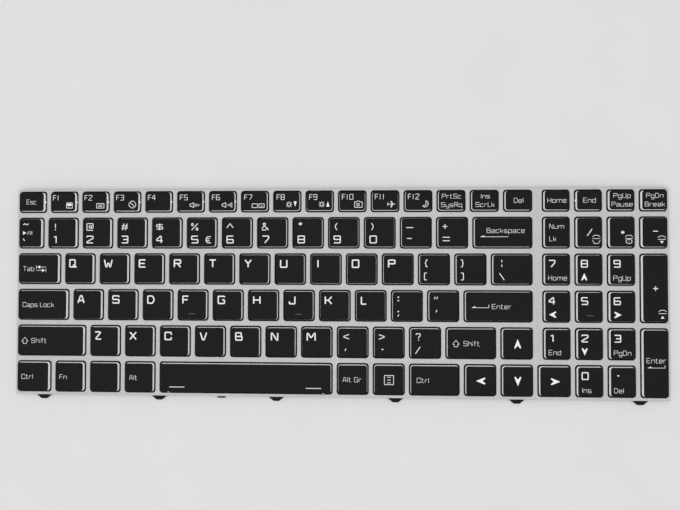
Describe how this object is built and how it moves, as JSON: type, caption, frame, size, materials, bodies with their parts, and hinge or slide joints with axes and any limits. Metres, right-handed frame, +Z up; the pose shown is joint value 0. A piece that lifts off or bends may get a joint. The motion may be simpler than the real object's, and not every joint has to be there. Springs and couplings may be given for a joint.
{
  "type": "laptop keyboard",
  "caption": "Full-size laptop keyboard module with number pad: silver frame with key windows, scissor keys on rubber domes, steel plate with front hooks, backlight sheets.",
  "frame": {"origin": "centre of the frame's footprint, on the underside of the back film", "axes": "+X to the right along the rows, +Y to the rear towards the function row, +Z up out of the key tops"},
  "size_m": [0.342, 0.1122, 0.0058],
  "materials": {
    "silver_frame": "moulded frame, sprayed satin silver with a fine metallic grain",
    "keycaps": "milky translucent caps, tops painted matte black, legends lasered through",
    "black_plate": "thin steel sheet, coated black",
    "membrane_sheet": "three laminated clear sheets with printed silver tracks",
    "dome_rubber": "moulded milky silicone",
    "link_plastic": "moulded natural acetal",
    "light_guide_sheet": "clear light guide sheet, dotted",
    "back_sheet": "black polyester sheet, fine matte"
  },
  "bodies": {
    "base": {"back_film": "back_sheet", "bezel_frame": "silver_frame", "light_guide": "light_guide_sheet", "membrane": "membrane_sheet", "number_pad_keys": "keycaps", "rubber_domes": "dome_rubber", "scissor_links": "link_plastic", "support_plate": "black_plate", "upper_row_keys": "keycaps"},
    "key_a": {"key_a": "keycaps"},
    "key_apostrophe": {"key_apostrophe": "keycaps"},
    "key_b": {"key_b": "keycaps"},
    "key_backslash": {"key_backslash": "keycaps"},
    "key_c": {"key_c": "keycaps"},
    "key_caps_lock": {"key_caps_lock": "keycaps"},
    "key_comma": {"key_comma": "keycaps"},
    "key_d": {"key_d": "keycaps"},
    "key_down_arrow": {"key_down_arrow": "keycaps"},
    "key_e": {"key_e": "keycaps"},
    "key_enter": {"key_enter": "keycaps"},
    "key_f": {"key_f": "keycaps"},
    "key_function": {"key_function": "keycaps"},
    "key_g": {"key_g": "keycaps"},
    "key_h": {"key_h": "keycaps"},
    "key_i": {"key_i": "keycaps"},
    "key_j": {"key_j": "keycaps"},
    "key_k": {"key_k": "keycaps"},
    "key_l": {"key_l": "keycaps"},
    "key_left_alt": {"key_left_alt": "keycaps"},
    "key_left_arrow": {"key_left_arrow": "keycaps"},
    "key_left_bracket": {"key_left_bracket": "keycaps"},
    "key_left_control": {"key_left_control": "keycaps"},
    "key_left_shift": {"key_left_shift": "keycaps"},
    "key_m": {"key_m": "keycaps"},
    "key_menu": {"key_menu": "keycaps"},
    "key_n": {"key_n": "keycaps"},
    "key_o": {"key_o": "keycaps"},
    "key_p": {"key_p": "keycaps"},
    "key_period": {"key_period": "keycaps"},
    "key_q": {"key_q": "keycaps"},
    "key_r": {"key_r": "keycaps"},
    "key_right_alt": {"key_right_alt": "keycaps"},
    "key_right_arrow": {"key_right_arrow": "keycaps"},
    "key_right_bracket": {"key_right_bracket": "keycaps"},
    "key_right_control": {"key_right_control": "keycaps"},
    "key_right_shift": {"key_right_shift": "keycaps"},
    "key_s": {"key_s": "keycaps"},
    "key_semicolon": {"key_semicolon": "keycaps"},
    "key_slash": {"key_slash": "keycaps"},
    "key_space": {"key_space": "keycaps"},
    "key_system": {"key_system": "keycaps"},
    "key_t": {"key_t": "keycaps"},
    "key_tab": {"key_tab": "keycaps"},
    "key_u": {"key_u": "keycaps"},
    "key_up_arrow": {"key_up_arrow": "keycaps"},
    "key_v": {"key_v": "keycaps"},
    "key_w": {"key_w": "keycaps"},
    "key_x": {"key_x": "keycaps"},
    "key_y": {"key_y": "keycaps"},
    "key_z": {"key_z": "keycaps"}
  },
  "joints": [
    {"name": "press_a", "type": "slide", "parent": "base", "child": "key_a", "axis": [0, 0, -1], "range_m": [0, 0.0015], "stiffness_N_per_m": 250, "springref_m": -0.0008, "deforming": ["rubber_domes", "scissor_links"]},
    {"name": "press_apostrophe", "type": "slide", "parent": "base", "child": "key_apostrophe", "axis": [0, 0, -1], "range_m": [0, 0.0015], "stiffness_N_per_m": 250, "springref_m": -0.0008, "deforming": ["rubber_domes", "scissor_links"]},
    {"name": "press_b", "type": "slide", "parent": "base", "child": "key_b", "axis": [0, 0, -1], "range_m": [0, 0.0015], "stiffness_N_per_m": 250, "springref_m": -0.0008, "deforming": ["rubber_domes", "scissor_links"]},
    {"name": "press_backslash", "type": "slide", "parent": "base", "child": "key_backslash", "axis": [0, 0, -1], "range_m": [0, 0.0015], "stiffness_N_per_m": 250, "springref_m": -0.0008, "deforming": ["rubber_domes", "scissor_links"]},
    {"name": "press_c", "type": "slide", "parent": "base", "child": "key_c", "axis": [0, 0, -1], "range_m": [0, 0.0015], "stiffness_N_per_m": 250, "springref_m": -0.0008, "deforming": ["rubber_domes", "scissor_links"]},
    {"name": "press_caps_lock", "type": "slide", "parent": "base", "child": "key_caps_lock", "axis": [0, 0, -1], "range_m": [0, 0.0015], "stiffness_N_per_m": 250, "springref_m": -0.0008, "deforming": ["rubber_domes", "scissor_links"]},
    {"name": "press_comma", "type": "slide", "parent": "base", "child": "key_comma", "axis": [0, 0, -1], "range_m": [0, 0.0015], "stiffness_N_per_m": 250, "springref_m": -0.0008, "deforming": ["rubber_domes", "scissor_links"]},
    {"name": "press_d", "type": "slide", "parent": "base", "child": "key_d", "axis": [0, 0, -1], "range_m": [0, 0.0015], "stiffness_N_per_m": 250, "springref_m": -0.0008, "deforming": ["rubber_domes", "scissor_links"]},
    {"name": "press_down_arrow", "type": "slide", "parent": "base", "child": "key_down_arrow", "axis": [0, 0, -1], "range_m": [0, 0.0015], "stiffness_N_per_m": 250, "springref_m": -0.0008, "deforming": ["rubber_domes", "scissor_links"]},
    {"name": "press_e", "type": "slide", "parent": "base", "child": "key_e", "axis": [0, 0, -1], "range_m": [0, 0.0015], "stiffness_N_per_m": 250, "springref_m": -0.0008, "deforming": ["rubber_domes", "scissor_links"]},
    {"name": "press_enter", "type": "slide", "parent": "base", "child": "key_enter", "axis": [0, 0, -1], "range_m": [0, 0.0015], "stiffness_N_per_m": 250, "springref_m": -0.0008, "deforming": ["rubber_domes", "scissor_links"]},
    {"name": "press_f", "type": "slide", "parent": "base", "child": "key_f", "axis": [0, 0, -1], "range_m": [0, 0.0015], "stiffness_N_per_m": 250, "springref_m": -0.0008, "deforming": ["rubber_domes", "scissor_links"]},
    {"name": "press_function", "type": "slide", "parent": "base", "child": "key_function", "axis": [0, 0, -1], "range_m": [0, 0.0015], "stiffness_N_per_m": 250, "springref_m": -0.0008, "deforming": ["rubber_domes", "scissor_links"]},
    {"name": "press_g", "type": "slide", "parent": "base", "child": "key_g", "axis": [0, 0, -1], "range_m": [0, 0.0015], "stiffness_N_per_m": 250, "springref_m": -0.0008, "deforming": ["rubber_domes", "scissor_links"]},
    {"name": "press_h", "type": "slide", "parent": "base", "child": "key_h", "axis": [0, 0, -1], "range_m": [0, 0.0015], "stiffness_N_per_m": 250, "springref_m": -0.0008, "deforming": ["rubber_domes", "scissor_links"]},
    {"name": "press_i", "type": "slide", "parent": "base", "child": "key_i", "axis": [0, 0, -1], "range_m": [0, 0.0015], "stiffness_N_per_m": 250, "springref_m": -0.0008, "deforming": ["rubber_domes", "scissor_links"]},
    {"name": "press_j", "type": "slide", "parent": "base", "child": "key_j", "axis": [0, 0, -1], "range_m": [0, 0.0015], "stiffness_N_per_m": 250, "springref_m": -0.0008, "deforming": ["rubber_domes", "scissor_links"]},
    {"name": "press_k", "type": "slide", "parent": "base", "child": "key_k", "axis": [0, 0, -1], "range_m": [0, 0.0015], "stiffness_N_per_m": 250, "springref_m": -0.0008, "deforming": ["rubber_domes", "scissor_links"]},
    {"name": "press_l", "type": "slide", "parent": "base", "child": "key_l", "axis": [0, 0, -1], "range_m": [0, 0.0015], "stiffness_N_per_m": 250, "springref_m": -0.0008, "deforming": ["rubber_domes", "scissor_links"]},
    {"name": "press_left_alt", "type": "slide", "parent": "base", "child": "key_left_alt", "axis": [0, 0, -1], "range_m": [0, 0.0015], "stiffness_N_per_m": 250, "springref_m": -0.0008, "deforming": ["rubber_domes", "scissor_links"]},
    {"name": "press_left_arrow", "type": "slide", "parent": "base", "child": "key_left_arrow", "axis": [0, 0, -1], "range_m": [0, 0.0015], "stiffness_N_per_m": 250, "springref_m": -0.0008, "deforming": ["rubber_domes", "scissor_links"]},
    {"name": "press_left_bracket", "type": "slide", "parent": "base", "child": "key_left_bracket", "axis": [0, 0, -1], "range_m": [0, 0.0015], "stiffness_N_per_m": 250, "springref_m": -0.0008, "deforming": ["rubber_domes", "scissor_links"]},
    {"name": "press_left_control", "type": "slide", "parent": "base", "child": "key_left_control", "axis": [0, 0, -1], "range_m": [0, 0.0015], "stiffness_N_per_m": 250, "springref_m": -0.0008, "deforming": ["rubber_domes", "scissor_links"]},
    {"name": "press_left_shift", "type": "slide", "parent": "base", "child": "key_left_shift", "axis": [0, 0, -1], "range_m": [0, 0.0015], "stiffness_N_per_m": 250, "springref_m": -0.0008, "deforming": ["rubber_domes", "scissor_links"]},
    {"name": "press_m", "type": "slide", "parent": "base", "child": "key_m", "axis": [0, 0, -1], "range_m": [0, 0.0015], "stiffness_N_per_m": 250, "springref_m": -0.0008, "deforming": ["rubber_domes", "scissor_links"]},
    {"name": "press_menu", "type": "slide", "parent": "base", "child": "key_menu", "axis": [0, 0, -1], "range_m": [0, 0.0015], "stiffness_N_per_m": 250, "springref_m": -0.0008, "deforming": ["rubber_domes", "scissor_links"]},
    {"name": "press_n", "type": "slide", "parent": "base", "child": "key_n", "axis": [0, 0, -1], "range_m": [0, 0.0015], "stiffness_N_per_m": 250, "springref_m": -0.0008, "deforming": ["rubber_domes", "scissor_links"]},
    {"name": "press_o", "type": "slide", "parent": "base", "child": "key_o", "axis": [0, 0, -1], "range_m": [0, 0.0015], "stiffness_N_per_m": 250, "springref_m": -0.0008, "deforming": ["rubber_domes", "scissor_links"]},
    {"name": "press_p", "type": "slide", "parent": "base", "child": "key_p", "axis": [0, 0, -1], "range_m": [0, 0.0015], "stiffness_N_per_m": 250, "springref_m": -0.0008, "deforming": ["rubber_domes", "scissor_links"]},
    {"name": "press_period", "type": "slide", "parent": "base", "child": "key_period", "axis": [0, 0, -1], "range_m": [0, 0.0015], "stiffness_N_per_m": 250, "springref_m": -0.0008, "deforming": ["rubber_domes", "scissor_links"]},
    {"name": "press_q", "type": "slide", "parent": "base", "child": "key_q", "axis": [0, 0, -1], "range_m": [0, 0.0015], "stiffness_N_per_m": 250, "springref_m": -0.0008, "deforming": ["rubber_domes", "scissor_links"]},
    {"name": "press_r", "type": "slide", "parent": "base", "child": "key_r", "axis": [0, 0, -1], "range_m": [0, 0.0015], "stiffness_N_per_m": 250, "springref_m": -0.0008, "deforming": ["rubber_domes", "scissor_links"]},
    {"name": "press_right_alt", "type": "slide", "parent": "base", "child": "key_right_alt", "axis": [0, 0, -1], "range_m": [0, 0.0015], "stiffness_N_per_m": 250, "springref_m": -0.0008, "deforming": ["rubber_domes", "scissor_links"]},
    {"name": "press_right_arrow", "type": "slide", "parent": "base", "child": "key_right_arrow", "axis": [0, 0, -1], "range_m": [0, 0.0015], "stiffness_N_per_m": 250, "springref_m": -0.0008, "deforming": ["rubber_domes", "scissor_links"]},
    {"name": "press_right_bracket", "type": "slide", "parent": "base", "child": "key_right_bracket", "axis": [0, 0, -1], "range_m": [0, 0.0015], "stiffness_N_per_m": 250, "springref_m": -0.0008, "deforming": ["rubber_domes", "scissor_links"]},
    {"name": "press_right_control", "type": "slide", "parent": "base", "child": "key_right_control", "axis": [0, 0, -1], "range_m": [0, 0.0015], "stiffness_N_per_m": 250, "springref_m": -0.0008, "deforming": ["rubber_domes", "scissor_links"]},
    {"name": "press_right_shift", "type": "slide", "parent": "base", "child": "key_right_shift", "axis": [0, 0, -1], "range_m": [0, 0.0015], "stiffness_N_per_m": 250, "springref_m": -0.0008, "deforming": ["rubber_domes", "scissor_links"]},
    {"name": "press_s", "type": "slide", "parent": "base", "child": "key_s", "axis": [0, 0, -1], "range_m": [0, 0.0015], "stiffness_N_per_m": 250, "springref_m": -0.0008, "deforming": ["rubber_domes", "scissor_links"]},
    {"name": "press_semicolon", "type": "slide", "parent": "base", "child": "key_semicolon", "axis": [0, 0, -1], "range_m": [0, 0.0015], "stiffness_N_per_m": 250, "springref_m": -0.0008, "deforming": ["rubber_domes", "scissor_links"]},
    {"name": "press_slash", "type": "slide", "parent": "base", "child": "key_slash", "axis": [0, 0, -1], "range_m": [0, 0.0015], "stiffness_N_per_m": 250, "springref_m": -0.0008, "deforming": ["rubber_domes", "scissor_links"]},
    {"name": "press_space", "type": "slide", "parent": "base", "child": "key_space", "axis": [0, 0, -1], "range_m": [0, 0.0015], "stiffness_N_per_m": 250, "springref_m": -0.0008, "deforming": ["rubber_domes", "scissor_links"]},
    {"name": "press_system", "type": "slide", "parent": "base", "child": "key_system", "axis": [0, 0, -1], "range_m": [0, 0.0015], "stiffness_N_per_m": 250, "springref_m": -0.0008, "deforming": ["rubber_domes", "scissor_links"]},
    {"name": "press_t", "type": "slide", "parent": "base", "child": "key_t", "axis": [0, 0, -1], "range_m": [0, 0.0015], "stiffness_N_per_m": 250, "springref_m": -0.0008, "deforming": ["rubber_domes", "scissor_links"]},
    {"name": "press_tab", "type": "slide", "parent": "base", "child": "key_tab", "axis": [0, 0, -1], "range_m": [0, 0.0015], "stiffness_N_per_m": 250, "springref_m": -0.0008, "deforming": ["rubber_domes", "scissor_links"]},
    {"name": "press_u", "type": "slide", "parent": "base", "child": "key_u", "axis": [0, 0, -1], "range_m": [0, 0.0015], "stiffness_N_per_m": 250, "springref_m": -0.0008, "deforming": ["rubber_domes", "scissor_links"]},
    {"name": "press_up_arrow", "type": "slide", "parent": "base", "child": "key_up_arrow", "axis": [0, 0, -1], "range_m": [0, 0.0015], "stiffness_N_per_m": 250, "springref_m": -0.0008, "deforming": ["rubber_domes", "scissor_links"]},
    {"name": "press_v", "type": "slide", "parent": "base", "child": "key_v", "axis": [0, 0, -1], "range_m": [0, 0.0015], "stiffness_N_per_m": 250, "springref_m": -0.0008, "deforming": ["rubber_domes", "scissor_links"]},
    {"name": "press_w", "type": "slide", "parent": "base", "child": "key_w", "axis": [0, 0, -1], "range_m": [0, 0.0015], "stiffness_N_per_m": 250, "springref_m": -0.0008, "deforming": ["rubber_domes", "scissor_links"]},
    {"name": "press_x", "type": "slide", "parent": "base", "child": "key_x", "axis": [0, 0, -1], "range_m": [0, 0.0015], "stiffness_N_per_m": 250, "springref_m": -0.0008, "deforming": ["rubber_domes", "scissor_links"]},
    {"name": "press_y", "type": "slide", "parent": "base", "child": "key_y", "axis": [0, 0, -1], "range_m": [0, 0.0015], "stiffness_N_per_m": 250, "springref_m": -0.0008, "deforming": ["rubber_domes", "scissor_links"]},
    {"name": "press_z", "type": "slide", "parent": "base", "child": "key_z", "axis": [0, 0, -1], "range_m": [0, 0.0015], "stiffness_N_per_m": 250, "springref_m": -0.0008, "deforming": ["rubber_domes", "scissor_links"]}
  ]
}
